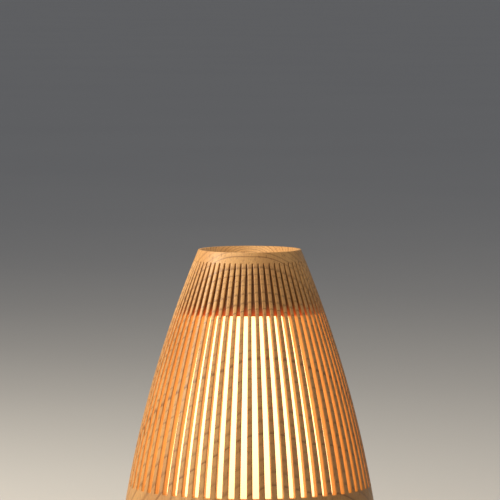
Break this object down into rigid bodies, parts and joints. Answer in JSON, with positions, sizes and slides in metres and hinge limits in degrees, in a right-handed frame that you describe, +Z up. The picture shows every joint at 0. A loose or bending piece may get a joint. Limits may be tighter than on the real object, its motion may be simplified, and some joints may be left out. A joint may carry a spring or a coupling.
{
  "type": "essential oil diffuser",
  "caption": "Ultrasonic essential oil diffuser with a tapered slatted wooden cover, lit from inside, over a frosted light cover, water tank and low plinth base.",
  "frame": {"origin": "on the table under the centre of the object, on the axis of the turned cover", "axes": "+Z up along the axis of the turned cover, -Y towards the front with the two buttons, +Y towards the power socket"},
  "size_m": [0.1516, 0.1514, 0.176],
  "materials": {
    "turned_wood": "oiled satin",
    "frosted_cover": "frosted translucent, lit warm white from inside",
    "tank_plastic": "milky satin",
    "casing_plastic": "fine satin",
    "button_plastic": "semi-gloss",
    "dark_plastic": "fine texture",
    "foot_rubber": "matte",
    "silicone": "matte",
    "disc_metal": "polished",
    "screw_steel": "zinc plated",
    "sink_aluminium": "extruded",
    "board": "solder mask",
    "white_board": "white solder mask",
    "capacitor_sleeve": "gloss sleeve",
    "led_resin": "clear resin"
  },
  "bodies": {
    "base": {"base_casing": "casing_plastic", "bottom_cover": "casing_plastic", "base_screw_1": "screw_steel", "base_screw_2": "screw_steel", "base_screw_3": "screw_steel", "base_screw_4": "screw_steel", "foot_1": "foot_rubber", "foot_2": "foot_rubber", "foot_3": "foot_rubber", "foot_4": "foot_rubber", "tank_seal": "silicone", "water_tank": "tank_plastic", "duct_cap": "casing_plastic", "transducer_seal": "silicone", "transducer_disc": "disc_metal", "transducer_clamp": "casing_plastic", "clamp_screw_1": "screw_steel", "clamp_screw_2": "screw_steel", "clamp_screw_3": "screw_steel", "fan_frame": "dark_plastic", "air_funnel": "casing_plastic", "control_board": "board", "resonance_coil": "dark_plastic", "filter_capacitor": "capacitor_sleeve", "control_chip": "dark_plastic", "heat_sink": "sink_aluminium", "driver_transistor": "dark_plastic", "light_board": "white_board", "led_1": "led_resin", "led_2": "led_resin", "led_3": "led_resin", "led_4": "led_resin", "led_5": "led_resin", "led_6": "led_resin", "led_7": "led_resin", "led_8": "led_resin", "power_socket": "dark_plastic", "button_board": "board", "mist_switch": "dark_plastic", "light_switch": "dark_plastic"},
    "inner_cover": {"light_cover": "frosted_cover"},
    "wooden_cover": {"slatted_cover": "turned_wood"},
    "rotor": {"fan_rotor": "dark_plastic"},
    "mist_key": {"mist_button": "button_plastic"},
    "light_key": {"light_button": "button_plastic"}
  },
  "joints": [
    {"name": "light_cover_lift", "type": "slide", "parent": "base", "child": "inner_cover", "axis": [0, 0, 1], "range_m": [0, 0.12]},
    {"name": "slatted_cover_lift", "type": "slide", "parent": "inner_cover", "child": "wooden_cover", "axis": [0, 0, 1], "range_m": [0, 0.18]},
    {"name": "fan_spin", "type": "hinge", "parent": "base", "child": "rotor", "pos_m": [0, 0.032, 0.012], "axis": [0, 0, 1], "continuous": true},
    {"name": "mist_button_press", "type": "slide", "parent": "base", "child": "mist_key", "axis": [0, 1, 0], "range_m": [0, 0.0008], "stiffness_N_per_m": 900},
    {"name": "light_button_press", "type": "slide", "parent": "base", "child": "light_key", "axis": [0, 1, 0], "range_m": [0, 0.0008], "stiffness_N_per_m": 900}
  ]
}
